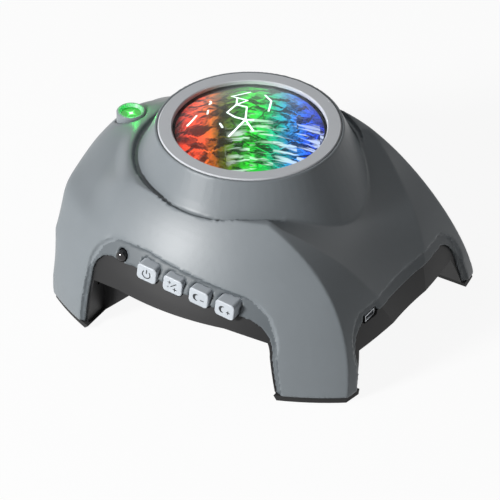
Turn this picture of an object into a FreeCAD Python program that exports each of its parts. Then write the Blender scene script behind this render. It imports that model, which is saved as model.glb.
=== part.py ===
import FreeCAD, Part
import math
import os

# Star night light projector: a four-legged housing with a round crown on top.
# Frame: millimetres, +Z up, origin on the floor under the middle of the outline.
# The key side faces -Y, and +X runs to the right along the row of keys.

V = FreeCAD.Vector
UP = V(0, 0, 1)
BACK = V(0, 1, 0)

# Housing: walls and the surfaces that bound it
WALL = 2.6                     # grey shell's wall
GAP = 0.3                      # free gap between pieces that only lie side by side
CASING_WALL = 2.4              # black casing's wall
LEDGE = 1.5                    # how far the shell's lower band steps in
BAND_THICKNESS = 3.2           # thickness of that band
FACE_CENTRE_Y = 57.0           # plan centre of the curved front face (back face mirrored)
FACE_HEIGHTS = (0.0, 40.0, 77.0)
FACE_RADII = (141.8, 132.5, 109.3)
FACE_SECTIONS = ((0.0, 0.0), (30.0, -6.5), (60.0, -9.5), (90.0, -3.0))  # height, centre's x
LEFT_CENTRE_X = 147.0          # plan centre of the curved left wall
LEFT_FOOT_X = -88.2            # left wall at the floor
LEFT_EDGE_X = -90.6            # left wall where its shoulder starts
LEFT_EDGE_Z = 55.0
SHOULDER_MID = (-83.0, 66.5)
SHOULDER_TOP = (-60.0, 75.0)
ROOF_Z = 78.5
RIGHT_CENTRE_X = -230.0        # plan centre of the curved right slope
VALLEY_SHIFT = (8.6, -1.6)     # hollow of the right slope: its turning axis from the slope's own
VALLEY_SINK = 8.6              # its radius under the slope's
VALLEY_HALF_WIDTH = 43.0
VALLEY_SAG = 5.0
RIGHT_SLOPE = ((87.2, 0.0), (70.6, 46.5), (28.0, 79.0))

# Arches under the housing: half profiles as (place along the side, height)
PAD_HEIGHT = 2.5
SEAM_LEFT_X = -56.0            # front arch of the seam between shell and casing
SEAM_RIGHT_X = 52.5
SEAM_PEAK = (-28.0, 44.5)
SEAM_RIGHT_SHOULDER = (30.0, 37.0)
SEAM_LEFT_BEND = (-53.0, 30.0)
SEAM_RIGHT_BEND = (47.0, 20.0)
BAND_HEIGHT = 10.0             # height of the stepped band over the arch
BAND_SIDE = 2.5                # its width down the legs
SIDE_HALF = 50.0               # side arch, half its width at the floor
SIDE_BEND = (46.0, 14.0)
SIDE_TOP = (36.0, 30.0)
SIDE_BAND_HEIGHT = 6.0
BELLY_Z = 19.0                 # flat underside of the casing
BELLY_FRONT_Y = 58.0           # where the flat underside ends and slants up to the seam
CHIN_Y = 73.0
CHIN_Z = 30.0
CASING_TOP_Z = 52.0            # the casing's walls end here, inside the shell
FLOOR_Z = BELLY_Z + CASING_WALL

# Crown
CROWN_X = -8.0
CROWN_TOP_Z = 91.0
RING_OUTER_R = 43.4
RING_INNER_R = 36.6
RING_THICKNESS = 2.0
LIP = 1.3                      # shell's rim round the ring
BOSS_MID = (50.4, 78.0)        # crown skirt as (radius, height)
BOSS_FOOT = (61.5, 56.0)
GROOVE_OUTER_R = 55.0
GROOVE_FLOOR_Z = 73.0
DOME_RISE = 8.0
DOME_THICKNESS = 1.6
DOME_FLANGE_R = 41.0
DOME_FLANGE_THICKNESS = 1.6
SHROUD_FOOT_R = 36.4           # black well under the dome
SHROUD_FOOT_Z = 79.5
SHROUD_WALL = 1.4
CROWN_OPENING_R = 37.5
RING_GAP = 0.15
FLANGE_POCKET_Z = CROWN_TOP_Z - RING_THICKNESS - DOME_FLANGE_THICKNESS
FLANGE_LOW_Z = FLANGE_POCKET_Z - 2.0

# Turning ripple lens and its drive
DECK_Z = 56.0
DECK_THICKNESS = 2.4
DECK_R = 47.0
COLLAR_OUTER_R = 31.0
COLLAR_WALL = 2.2
COLLAR_TOP_Z = 71.0
COLLAR_LEDGE_R = 33.0
COLLAR_LEDGE_Z = 63.0
RIPPLE_MODULE = 1.0
RIPPLE_TEETH = 70
RIPPLE_PINION_TEETH = 14
RIPPLE_GEAR_Z = 63.6
RIPPLE_GEAR_HEIGHT = 8.4
RIPPLE_TOOTH_HEIGHT = 4.0
RIPPLE_RUNNING_GAP = 0.3
RIPPLE_LENS_R = 34.6
RIPPLE_LENS_EDGE = 1.8
RIPPLE_LENS_CROWN = 4.2
RIPPLE_WAVES = 5
RIPPLE_WAVE_HEIGHT = 0.8
RIPPLE_DRIVE_ANGLE = 138.0
SHAFT_R = 1.5
MOTOR_R = 10.0
MOTOR_HEIGHT = 17.0
GEARBOX_HEIGHT = 5.0

# Lamps
SINK_R = 24.0
SINK_FLANGE_R = 27.5
SINK_FLANGE_THICKNESS = 2.6
SINK_FIN_DEPTH = 9.0
SINK_FIN_THICKNESS = 1.4
SINK_FIN_PITCH = 4.4
LAMP_BOARD_R = 22.5
BOARD_THICKNESS = 1.6
LAMP_PITCH = 15.0
LAMP_SIDE = 5.0
LAMP_HEIGHT = 1.3
CONDENSER_R = 6.6
CONDENSER_STAND = 1.2

# Laser emitter on the left shoulder
LASER_X = -74.0
LASER_Y = 0.0
LASER_TOP_Z = 75.2
BEZEL_R = 7.0
BEZEL_BORE_R = 4.75
BEZEL_DEPTH = 10.0
WINDOW_THICKNESS = 1.2
BARREL_R = 3.2
BARREL_LENGTH = 16.0
BARREL_TOP_Z = 58.5
BRACKET_THICKNESS = 2.4
BRACKET_Z = 52.0
GRATING_MODULE = 0.5
GRATING_TEETH = 32
GRATING_PINION_TEETH = 14
GRATING_THICKNESS = 2.0
GRATING_Z = 60.5
GRATING_SHIFT = 5.5            # wheel axis from the laser's axis, towards the crown
GRATING_AXLE_R = 1.0
SMALL_MOTOR_R = 4.5
SMALL_MOTOR_HEIGHT = 12.0
SMALL_SHAFT_R = 0.6
AXLE_GAP = 0.08

# Keys
KEY_NAMES = ("power_key", "mode_key", "dimmer_key", "brighter_key")
KEY_FIRST_X = -20.0
KEY_PITCH = 14.3
KEY_FIRST_Z = 45.4
KEY_ROW_TILT = 6.0             # the row falls to the right by this many degrees
KEY_FACE_Y = -73.3
KEY_WIDTH = 10.5
KEY_HEIGHT = 8.8
KEY_CORNER_R = 2.0
KEY_DEPTH = 9.1
KEY_TRAVEL = 0.8
KEY_GAP = 0.35
SWITCH_SIDE = 6.0
SWITCH_DEPTH = 3.5
PLUNGER_R = 1.5
PLUNGER_LENGTH = 0.9
KEY_SOFT_EDGE = 0.6
KEY_BOARD_HEIGHT = 12.0
KEY_BOARD_LEFT = -41.0
KEY_BOARD_RIGHT = 31.0
KEY_BOARD_Y = KEY_FACE_Y + KEY_DEPTH + KEY_TRAVEL + 0.05 + PLUNGER_LENGTH + SWITCH_DEPTH

# Receiver, inlet and speaker
RECEIVER_X = -36.5
RECEIVER_Z = 46.6
RECEIVER_R = 2.6
RECEIVER_FACE_Y = -70.8
RECEIVER_LENGTH = 6.2
RECEIVER_DOME = 1.2
RECEIVER_CHIP = (6.0, 7.0)
INLET_Y = -28.6
INLET_Z = 30.4
INLET_SLOT = (12.0, 4.4)
INLET_BODY = (8.0, 9.0, 3.2)
INLET_FACE_X = 75.6
INLET_BOARD_Z = INLET_Z - 0.5 * INLET_BODY[2] - BOARD_THICKNESS
INLET_POST = (66.0, -22.0)
SPEAKER_X = -26.0
SPEAKER_Y = 6.0
SPEAKER_R = 18.0
SPEAKER_HEIGHT = 11.0
SPEAKER_SLOTS = 7
SPEAKER_SLOT_PITCH = 4.4
SPEAKER_SLOT_WIDTH = 1.8

# Boards and fasteners
MAIN_BOARD = (34.0, 48.0)
MAIN_BOARD_X = 14.0
MAIN_BOARD_Y = 0.0
MAIN_BOARD_Z = 27.0
POST_R = 3.2
DECK_POST_R = 3.6
DECK_POST_RADIUS = 43.0
DECK_POST_ANGLES = (45.0, 103.0, 225.0, 315.0)
SCREW_R = 1.0
SCREW_HEAD_R = 2.2
SCREW_HEAD_HEIGHT = 1.6
SCREW_LENGTH = 7.0
CASING_SCREW_LENGTH = 11.0
SHELL_POST_R = 3.4
SHELL_POST_FOOT_Z = 24.0
BOARD_HOLE_INSET = 3.6
BRACKET_POSTS = ((-62.0, 13.0), (-62.0, -20.0))
CASING_SCREWS = ((50.0, 38.0), (50.0, -38.0), (-66.0, 34.0), (-66.0, -34.0))

# The feet and the crown are placed first; then everything moves this far to +X,
# so that the origin lies under the middle of the outline.
ORIGIN_SHIFT = 3.9

os.makedirs("parts", exist_ok=True)


def save(name, shape):
    """Write one named sub-part to its file."""
    clean = shape.removeSplitter()
    if not clean.isValid():
        clean = shape
    clean.translate(V(ORIGIN_SHIFT, 0, 0))
    print(name, "solids", len(clean.Solids), "valid", clean.isValid(), "volume", round(clean.Volume, 1))
    clean.exportStep("parts/" + name + ".step")


def cylinder(radius, low, high, x=0.0, y=0.0):
    """Upright cylinder between two heights."""
    return Part.makeCylinder(radius, high - low, V(x, y, low), UP)


def block(x_range, y_range, z_range):
    """Box from its lowest to its highest corner."""
    size = (x_range[1] - x_range[0], y_range[1] - y_range[0], z_range[1] - z_range[0])
    return Part.makeBox(size[0], size[1], size[2], V(x_range[0], y_range[0], z_range[0]))


def arc(start, middle, end):
    return Part.Arc(start, middle, end).toShape()


def line(start, end):
    return Part.LineSegment(start, end).toShape()


def face_of(edges):
    return Part.Face(Part.Wire(edges))


def polygon(points):
    return Part.Face(Part.makePolygon(points + [points[0]]))


def turned(points, x=0.0, y=0.0):
    """Solid turned about the upright axis at x, y from (radius, height) points."""
    outline = polygon([V(x + r, y, z) for r, z in points])
    return outline.revolve(V(x, y, 0), UP, 360)


def circle_through(points):
    """Centre and radius of the circle through three (x, z) points."""
    (x1, z1), (x2, z2), (x3, z3) = points
    a, b = x2 - x1, z2 - z1
    c, d = x3 - x1, z3 - z1
    e = 0.5 * (x2 ** 2 - x1 ** 2 + z2 ** 2 - z1 ** 2)
    f = 0.5 * (x3 ** 2 - x1 ** 2 + z3 ** 2 - z1 ** 2)
    det = a * d - b * c
    cx = (e * d - b * f) / det
    cz = (a * f - e * c) / det
    return cx, cz, math.hypot(x1 - cx, z1 - cz)


def face_radius(z):
    """Plan radius of the front and back faces at a height."""
    cx, cz, r = circle_through(list(zip(FACE_RADII, FACE_HEIGHTS)))
    return cx + math.sqrt(r * r - (z - cz) ** 2)


def curved_face(side, inset):
    """Everything behind the front face (side -1) or before the back face (side 1)."""
    wires = []
    for z, centre_x in FACE_SECTIONS:
        centre = V(centre_x, -side * FACE_CENTRE_Y, z)
        ring = Part.Circle(centre, UP, face_radius(z) - inset).toShape()
        wires.append(Part.Wire([ring]))
    return Part.makeLoft(wires, True, False)


def left_wall(inset):
    """Left wall, shoulder and roof, turned about a far upright axis on the right."""
    foot = V(LEFT_FOOT_X + inset, 0, 0)
    edge = V(LEFT_EDGE_X + inset, 0, LEFT_EDGE_Z)
    mid = V(SHOULDER_MID[0] + 0.75 * inset, 0, SHOULDER_MID[1] - 0.66 * inset)
    top = V(SHOULDER_TOP[0] + 0.1 * inset, 0, SHOULDER_TOP[1] - inset)
    roof = V(LEFT_CENTRE_X, 0, ROOF_Z - inset)
    axis_foot = V(LEFT_CENTRE_X, 0, 0)
    edges = [line(foot, edge), arc(edge, mid, top), line(top, roof), line(roof, axis_foot),
             line(axis_foot, foot)]
    return face_of(edges).revolve(axis_foot, UP, 360)


def right_slope(inset):
    """Right slope as a round shell turned about a far upright axis on the left."""
    cx, cz, r = circle_through(RIGHT_SLOPE)
    r = r - inset
    foot = V(cx + math.sqrt(r * r - cz * cz), 0, 0)
    middle = V(cx + r * math.cos(math.radians(45)), 0, cz + r * math.sin(math.radians(45)))
    top = V(cx, 0, cz + r)
    roof = V(RIGHT_CENTRE_X, 0, cz + r)
    axis_foot = V(RIGHT_CENTRE_X, 0, 0)
    edges = [arc(foot, middle, top), line(top, roof), line(roof, axis_foot), line(axis_foot, foot)]
    return face_of(edges).revolve(axis_foot, UP, 360)


def valley(inset):
    """Tool for the soft hollow that runs down the right slope."""
    cx, cz, r = circle_through(RIGHT_SLOPE)
    axis = V(cx + VALLEY_SHIFT[0], 0, cz + VALLEY_SHIFT[1])
    low = r - VALLEY_SINK - inset
    rim = low + VALLEY_SAG
    outer = r + 30
    half = VALLEY_HALF_WIDTH
    edges = [arc(V(axis.x + rim, -half, axis.z), V(axis.x + low, 0, axis.z), V(axis.x + rim, half, axis.z)),
             line(V(axis.x + rim, half, axis.z), V(axis.x + outer, half, axis.z)),
             line(V(axis.x + outer, half, axis.z), V(axis.x + outer, -half, axis.z)),
             line(V(axis.x + outer, -half, axis.z), V(axis.x + rim, -half, axis.z))]
    return face_of(edges).revolve(axis, BACK, -75)


def housing(inset):
    """Closed form of the housing without its crown, drawn in by inset."""
    form = left_wall(inset).common(right_slope(inset)).cut(valley(inset))
    form = form.common(curved_face(-1, inset))
    return form.common(curved_face(1, inset))


def boss(inset, top):
    """Crown's round skirt, drawn in by inset."""
    upper = (RING_OUTER_R + LIP - inset, top)
    middle = (BOSS_MID[0] - inset, BOSS_MID[1])
    foot = (BOSS_FOOT[0] - inset, BOSS_FOOT[1])
    return turned([(0, BOSS_FOOT[1]), foot, middle, upper, (0, top)], CROWN_X, 0)


def front_arch(rise, side, low=-1.0):
    """Arch through front and back, grown by rise over its top and side down the legs."""
    p1 = V(SEAM_LEFT_X - side, -100, low)
    p2 = V(SEAM_LEFT_BEND[0] - side, -100, SEAM_LEFT_BEND[1])
    p3 = V(SEAM_PEAK[0] - 12.0, -100, SEAM_PEAK[1] + rise - 1.0)
    p4 = V(SEAM_PEAK[0] + 6.0, -100, SEAM_PEAK[1] + rise)
    p5 = V(SEAM_RIGHT_SHOULDER[0], -100, SEAM_RIGHT_SHOULDER[1] + rise)
    p6 = V(SEAM_RIGHT_BEND[0] + side, -100, SEAM_RIGHT_BEND[1])
    p7 = V(SEAM_RIGHT_X + side, -100, low)
    left_mid = V(0.25 * p2.x + 0.75 * p3.x - 5.5, -100, 0.25 * p2.z + 0.75 * p3.z + 0.5)
    right_mid = V(0.5 * (p5.x + p6.x) + 3.0, -100, 0.5 * (p5.z + p6.z) + 3.5 + 0.25 * rise)
    edges = [line(p1, p2), arc(p2, left_mid, p3), line(p3, p4), line(p4, p5),
             arc(p5, right_mid, p6), line(p6, p7), line(p7, p1)]
    return face_of(edges).extrude(V(0, 200, 0))


def side_arch(rise, side, low=-1.0):
    """Arch through left and right, the same at both ends."""
    half = SIDE_HALF + side
    bend = (SIDE_BEND[0] + side, SIDE_BEND[1])
    top = (SIDE_TOP[0], SIDE_TOP[1] + rise)
    mid = (bend[0] - 0.18 * (bend[0] - top[0]), bend[1] + 0.62 * (top[1] - bend[1]))
    points = [V(-110, -half, low), V(-110, -bend[0], bend[1]), V(-110, -mid[0], mid[1]),
              V(-110, -top[0], top[1])]
    mirror = [V(p.x, -p.y, p.z) for p in points]
    edges = [line(points[0], points[1]), arc(points[1], points[2], points[3]), line(points[3], mirror[3]),
             arc(mirror[3], mirror[2], mirror[1]), line(mirror[1], mirror[0]), line(mirror[0], points[0])]
    return face_of(edges).extrude(V(220, 0, 0))


def belly(drop):
    """Space under the casing between the legs, lowered by drop."""
    z = BELLY_Z - drop
    front = [V(SEAM_LEFT_X, -100, -1), V(SEAM_LEFT_X + 20, -100, z), V(SEAM_RIGHT_X - 12, -100, z),
             V(SEAM_RIGHT_X, -100, -1)]
    front_space = polygon(front).extrude(V(0, 200, 0))
    side = [V(-110, -SIDE_HALF, -1), V(-110, -SIDE_HALF + 8, z), V(-110, SIDE_HALF - 8, z),
            V(-110, SIDE_HALF, -1)]
    side_space = polygon(side).extrude(V(220, 0, 0))
    return front_space, side_space


def key_centre(index):
    """Centre of a key's face."""
    along = index * KEY_PITCH
    drop = math.tan(math.radians(KEY_ROW_TILT))
    return V(KEY_FIRST_X + along, KEY_FACE_Y, KEY_FIRST_Z - along * drop)


def rounded_plate(centre, width, height, corner, depth):
    """Rounded square prism with its face at centre, reaching depth towards +Y."""
    w, h = width / 2.0, height / 2.0
    plate = Part.makeBox(width, depth, height, V(-w, 0, -h))
    plate = plate.makeFillet(corner, [e for e in plate.Edges if abs(e.tangentAt(e.FirstParameter).y) > 0.9])
    plate.rotate(V(0, 0, 0), BACK, KEY_ROW_TILT)
    plate.translate(centre)
    return plate


def toothed_disc(module, teeth, low, high, x, y, phase):
    """Spur gear with straight-sided teeth; phase turns a tooth's middle to that angle."""
    pitch_r = module * teeth / 2.0
    tip_r = pitch_r + 0.8 * module
    root_r = pitch_r - 1.15 * module
    pitch_angle = 360.0 / teeth
    points = []
    for tooth in range(teeth):
        middle = phase + tooth * pitch_angle
        for part, radius in ((-0.33, root_r), (-0.12, tip_r), (0.12, tip_r), (0.33, root_r)):
            angle = math.radians(middle + part * pitch_angle)
            points.append(V(x + radius * math.cos(angle), y + radius * math.sin(angle), low))
    return polygon(points).extrude(V(0, 0, high - low))


def screw(x, y, head_z, direction=-1):
    """Plain pan head screw; its shank runs from head_z in direction."""
    head_low, head_high = sorted((head_z, head_z - direction * SCREW_HEAD_HEIGHT))
    shank_low, shank_high = sorted((head_z, head_z + direction * SCREW_LENGTH))
    head = cylinder(SCREW_HEAD_R, head_low, head_high, x, y)
    return head.fuse(cylinder(SCREW_R, shank_low, shank_high, x, y))


def around(centre_x, centre_y, radius, angle):
    turn = math.radians(angle)
    return centre_x + radius * math.cos(turn), centre_y + radius * math.sin(turn)


def chin(drop):
    """Space under the slanting strip between the flat belly and the front and back seams."""
    low, high = BELLY_Z - drop, CHIN_Z - drop
    points = [V(-100, -BELLY_FRONT_Y, low), V(-100, -CHIN_Y, high), V(-100, -100, high),
              V(-100, -100, -1), V(-100, -BELLY_FRONT_Y, -1)]
    front = polygon(points).extrude(V(200, 0, 0))
    return front.fuse(front.mirror(V(0, 0, 0), BACK)).common(front_arch(-3.0, -1.5))


def key_cut(index, gap, depth):
    """Hole or cap of one key, grown by gap all round."""
    face = key_centre(index)
    outer = V(face.x, face.y - gap, face.z)
    return rounded_plate(outer, KEY_WIDTH + 2 * gap, KEY_HEIGHT + 2 * gap, KEY_CORNER_R + gap, depth)


def receiver_hole(gap):
    """Round hole of the receiver window with straight walls down to the seam."""
    return Part.makeCylinder(RECEIVER_R + gap, 20, V(RECEIVER_X, RECEIVER_FACE_Y - 5, RECEIVER_Z), BACK)


def inlet_slot():
    """Opening in front of the inlet, through the wall."""
    wide, tall = INLET_SLOT
    slot = block((INLET_FACE_X - 2, INLET_FACE_X + 12), (INLET_Y - wide / 2, INLET_Y + wide / 2),
                 (INLET_Z - tall / 2, INLET_Z + tall / 2))
    ends = [e for e in slot.Edges if abs(e.tangentAt(e.FirstParameter).x) > 0.9]
    return slot.makeFillet(tall / 2 - 0.2, ends)


def receiver_pocket():
    """Space for the receiver chip behind its window."""
    low = RECEIVER_FACE_Y + RECEIVER_LENGTH
    side, half = RECEIVER_CHIP[0] / 2 + GAP, RECEIVER_CHIP[1] / 2 + GAP
    return block((RECEIVER_X - side, RECEIVER_X + side), (low, KEY_BOARD_Y + 1),
                 (RECEIVER_Z - half, RECEIVER_Z + half))


def inlet_pocket():
    """Space for the metal socket inside the walls."""
    wide, deep, tall = INLET_BODY
    return block((INLET_FACE_X - deep - 1, INLET_FACE_X + 1),
                 (INLET_Y - wide / 2 - GAP, INLET_Y + wide / 2 + GAP),
                 (INLET_Z - tall / 2 - GAP, INLET_Z + tall / 2 + GAP))


def build_upper_shell():
    """Grey housing: skin, stepped band over the seam, crown skirt, flange and screw posts."""
    skin = housing(0)
    boss_outer = boss(0, CROWN_TOP_Z - 0.4)
    outer = skin.fuse(boss_outer)
    groove = cylinder(GROOVE_OUTER_R, GROOVE_FLOOR_Z, CROWN_TOP_Z, CROWN_X).cut(boss_outer)
    outer = outer.cut(groove)
    inner = housing(WALL).cut(cylinder(GROOVE_OUTER_R + WALL, GROOVE_FLOOR_Z - WALL, CROWN_TOP_Z, CROWN_X))
    inner = inner.fuse(boss(WALL, FLANGE_LOW_Z))
    shell = outer.cut(inner)
    shell = shell.cut(front_arch(BAND_HEIGHT, BAND_SIDE)).cut(side_arch(SIDE_BAND_HEIGHT, BAND_SIDE))
    band = housing(LEDGE).cut(housing(LEDGE + BAND_THICKNESS))
    zone = front_arch(BAND_HEIGHT, BAND_SIDE).fuse(side_arch(SIDE_BAND_HEIGHT, BAND_SIDE))
    band = band.common(zone).cut(front_arch(0, 0)).cut(side_arch(0, 0))
    shell = shell.fuse(band)
    posts = [cylinder(SHELL_POST_R, SHELL_POST_FOOT_Z, 90, x, y) for x, y in CASING_SCREWS]
    within = housing(WALL * 0.5)
    for post in posts:
        shell = shell.fuse(post.common(within))
    bore_top = BELLY_Z + CASING_SCREW_LENGTH + 0.5
    cuts = [cylinder(SCREW_R, SHELL_POST_FOOT_Z - 1, bore_top, x, y) for x, y in CASING_SCREWS]
    cuts.append(cylinder(RING_OUTER_R + RING_GAP, CROWN_TOP_Z - RING_THICKNESS, CROWN_TOP_Z + 1, CROWN_X))
    cuts.append(cylinder(DOME_FLANGE_R + RING_GAP, FLANGE_POCKET_Z, CROWN_TOP_Z, CROWN_X))
    cuts.append(cylinder(CROWN_OPENING_R, FLANGE_LOW_Z - 5, CROWN_TOP_Z, CROWN_X))
    cuts.append(cylinder(BEZEL_R + RING_GAP, LASER_TOP_Z - BEZEL_DEPTH, LASER_TOP_Z + 5, LASER_X, LASER_Y))
    cuts += [key_cut(i, KEY_GAP, KEY_DEPTH + 4) for i in range(len(KEY_NAMES))]
    cuts += [receiver_hole(KEY_GAP), receiver_pocket(), inlet_slot(), inlet_pocket()]
    cuts.append(block((-120, 120), (-120, 120), (-5, PAD_HEIGHT)))
    for cut in cuts:
        shell = shell.cut(cut)
    return shell


def key_rails():
    """Two slotted uprights that hold the key board's ends."""
    depth = (KEY_BOARD_Y - 2, KEY_BOARD_Y + 3.6)
    left = block((KEY_BOARD_LEFT - 3, KEY_BOARD_LEFT + 2), depth, (FLOOR_Z - 1, 51))
    right = block((KEY_BOARD_RIGHT - 2, KEY_BOARD_RIGHT + 3), depth, (FLOOR_Z - 1, 46))
    return [left, right]


def key_board_plate(gap):
    """Board behind the keys, tilted with their row."""
    middle = 0.5 * (KEY_BOARD_LEFT + KEY_BOARD_RIGHT)
    length = KEY_BOARD_RIGHT - KEY_BOARD_LEFT
    plate = block((-length / 2 - gap, length / 2 + gap), (-gap, BOARD_THICKNESS + gap),
                  (-KEY_BOARD_HEIGHT / 2 - gap, KEY_BOARD_HEIGHT / 2 + gap))
    plate.rotate(V(0, 0, 0), BACK, KEY_ROW_TILT)
    drop = math.tan(math.radians(KEY_ROW_TILT))
    plate.translate(V(middle, KEY_BOARD_Y, KEY_FIRST_Z - (middle - KEY_FIRST_X) * drop))
    return plate


def posts_of_casing():
    """Uprights that stand on the casing's floor: (x, y, radius, top)."""
    posts = []
    for angle in DECK_POST_ANGLES:
        x, y = around(CROWN_X, 0, DECK_POST_RADIUS, angle)
        posts.append((x, y, DECK_POST_R, DECK_Z))
    for x, y in main_board_holes():
        posts.append((x, y, POST_R, MAIN_BOARD_Z))
    for x, y in BRACKET_POSTS:
        posts.append((x, y, POST_R, BRACKET_Z))
    posts.append((INLET_POST[0], INLET_POST[1], POST_R, INLET_BOARD_Z))
    return posts


def main_board_holes():
    half_x, half_y = MAIN_BOARD[0] / 2 - BOARD_HOLE_INSET, MAIN_BOARD[1] / 2 - BOARD_HOLE_INSET
    return [(MAIN_BOARD_X + sx * half_x, MAIN_BOARD_Y + sy * half_y)
            for sx, sy in ((1, 1), (1, -1), (-1, 1), (-1, -1))]


def build_lower_casing():
    """Near-black casing: legs' inner faces, flat belly, walls inside the shell, posts and slots."""
    clear = LEDGE + BAND_THICKNESS + GAP
    outer = housing(WALL + GAP)
    zone = front_arch(BAND_HEIGHT + GAP, BAND_SIDE + GAP)
    zone = zone.fuse(side_arch(SIDE_BAND_HEIGHT + GAP, BAND_SIDE + GAP))
    zone = zone.cut(front_arch(-GAP, -GAP)).cut(side_arch(-GAP, -GAP))
    outer = outer.cut(zone).fuse(housing(clear))
    outer = outer.common(block((-120, 120), (-120, 120), (PAD_HEIGHT, CASING_TOP_Z)))
    front_space, side_space = belly(0)
    outer = outer.cut(front_space).cut(side_space).cut(chin(0))
    cavity = housing(clear + CASING_WALL).common(block((-120, 120), (-120, 120), (FLOOR_Z, 100)))
    cavity = cavity.cut(chin(-CASING_WALL - 0.6))
    casing = outer.cut(cavity)
    inside = housing(clear + 0.5 * CASING_WALL)
    for rail in key_rails():
        casing = casing.fuse(rail.common(inside))
    for x, y, radius, top in posts_of_casing():
        casing = casing.fuse(cylinder(radius, BELLY_Z + 1, top, x, y))
    for x, y in CASING_SCREWS:
        casing = casing.fuse(cylinder(SHELL_POST_R, BELLY_Z + 1, SHELL_POST_FOOT_Z - GAP, x, y))
    cuts = [cylinder(SCREW_R, top - SCREW_LENGTH - 1, top + 1, x, y) for x, y, r, top in posts_of_casing()]
    cuts += [cylinder(SCREW_R + 0.2, BELLY_Z - 1, SHELL_POST_FOOT_Z, x, y) for x, y in CASING_SCREWS]
    for index in range(SPEAKER_SLOTS):
        offset = (index - (SPEAKER_SLOTS - 1) / 2) * SPEAKER_SLOT_PITCH
        half = math.sqrt((SPEAKER_R - 3) ** 2 - offset ** 2)
        y = SPEAKER_Y + offset
        cuts.append(block((SPEAKER_X - half, SPEAKER_X + half),
                          (y - SPEAKER_SLOT_WIDTH / 2, y + SPEAKER_SLOT_WIDTH / 2),
                          (BELLY_Z - 1, FLOOR_Z + 0.1)))
    cuts.append(key_board_plate(GAP))
    cuts += [key_cut(i, KEY_GAP, KEY_DEPTH + 3) for i in range(len(KEY_NAMES))]
    cuts += [receiver_hole(KEY_GAP), receiver_pocket(), inlet_slot(), inlet_pocket()]
    cuts.append(block(*inlet_board_box(GAP)))
    for cut in cuts:
        casing = casing.cut(cut)
    return casing


def inlet_board_box(gap):
    """Ranges of the small board under the inlet."""
    return ((INLET_POST[0] - 6 - gap, INLET_FACE_X - 2 + gap), (INLET_Y - 7 - gap, INLET_Y + 9 + gap),
            (INLET_BOARD_Z, INLET_BOARD_Z + BOARD_THICKNESS + gap))


def build_foot_pads():
    """Four rubber pads, one under each leg."""
    front_space, side_space = belly(0)
    pads = housing(1.0).common(block((-120, 120), (-120, 120), (0, PAD_HEIGHT)))
    pads = pads.cut(front_space).cut(side_space)
    return pads


def build_crown_ring():
    """Light grey ring round the dome, with softened edges."""
    low, high = CROWN_TOP_Z - RING_THICKNESS, CROWN_TOP_Z
    soft = 0.5
    points = [(RING_INNER_R, low), (RING_OUTER_R, low), (RING_OUTER_R, high - soft),
              (RING_OUTER_R - soft, high),
              (RING_INNER_R + soft, high), (RING_INNER_R, high - soft)]
    return turned(points, CROWN_X, 0)


def build_lens_cover():
    """Clear shallow dome with a flange under the ring."""
    base = CROWN_TOP_Z - RING_THICKNESS
    radius = RING_INNER_R - RING_GAP
    sphere_r = (radius ** 2 + DOME_RISE ** 2) / (2 * DOME_RISE)
    centre_z = base + DOME_RISE - sphere_r
    inner_r = sphere_r - DOME_THICKNESS
    low = base - DOME_FLANGE_THICKNESS
    inner_edge = math.sqrt(inner_r ** 2 - (low - centre_z) ** 2)
    x = CROWN_X

    def on_sphere(r, angle):
        return V(x + r * math.sin(angle), 0, centre_z + r * math.cos(angle))

    outer_angle = math.asin(radius / sphere_r)
    inner_angle = math.asin(inner_edge / inner_r)
    top, bottom = on_sphere(sphere_r, 0), on_sphere(inner_r, 0)
    edges = [arc(top, on_sphere(sphere_r, outer_angle / 2), on_sphere(sphere_r, outer_angle)),
             line(on_sphere(sphere_r, outer_angle), V(x + DOME_FLANGE_R, 0, base)),
             line(V(x + DOME_FLANGE_R, 0, base), V(x + DOME_FLANGE_R, 0, low)),
             line(V(x + DOME_FLANGE_R, 0, low), on_sphere(inner_r, inner_angle)),
             arc(on_sphere(inner_r, inner_angle), on_sphere(inner_r, inner_angle / 2), bottom),
             line(bottom, top)]
    return face_of(edges).revolve(V(x, 0, 0), UP, 360)


def build_light_shroud():
    """Black well that hides the works between the dome and the ripple lens."""
    inner, outer = SHROUD_FOOT_R - SHROUD_WALL, SHROUD_FOOT_R
    top = FLANGE_POCKET_Z - GAP
    points = [(inner, SHROUD_FOOT_Z), (outer, SHROUD_FOOT_Z), (outer, FLANGE_LOW_Z - SHROUD_WALL),
              (DOME_FLANGE_R, FLANGE_LOW_Z - SHROUD_WALL), (DOME_FLANGE_R, FLANGE_LOW_Z),
              (CROWN_OPENING_R - GAP, FLANGE_LOW_Z), (CROWN_OPENING_R - GAP, top), (inner + 0.4, top)]
    return turned(points, CROWN_X, 0)


def build_ripple_lens():
    """Clear disc with ring-shaped waves on a low crown."""
    low = RIPPLE_GEAR_Z + RIPPLE_GEAR_HEIGHT
    edge_z = low + RIPPLE_LENS_EDGE
    count = RIPPLE_WAVES * 4
    inner_r = RIPPLE_LENS_R - 2.0
    crest = []
    for step in range(count + 1):
        share = step / count
        r = inner_r * share
        wave = RIPPLE_WAVE_HEIGHT * 0.5 * (math.cos(math.pi * count * 0.5 * share) - 1)
        height = RIPPLE_LENS_CROWN * (1 - share ** 2) + wave
        crest.append(V(CROWN_X + r, 0, edge_z + max(height, -0.6)))
    curve = Part.BSplineCurve()
    curve.interpolate(crest)
    start, end = crest[0], crest[-1]
    rim_top = V(CROWN_X + RIPPLE_LENS_R, 0, end.z)
    rim_low = V(CROWN_X + RIPPLE_LENS_R, 0, low)
    middle = V(CROWN_X, 0, low)
    edges = [curve.toShape(), line(end, rim_top), line(rim_top, rim_low), line(rim_low, middle),
             line(middle, start)]
    return face_of(edges).revolve(V(CROWN_X, 0, 0), UP, 360)


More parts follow.
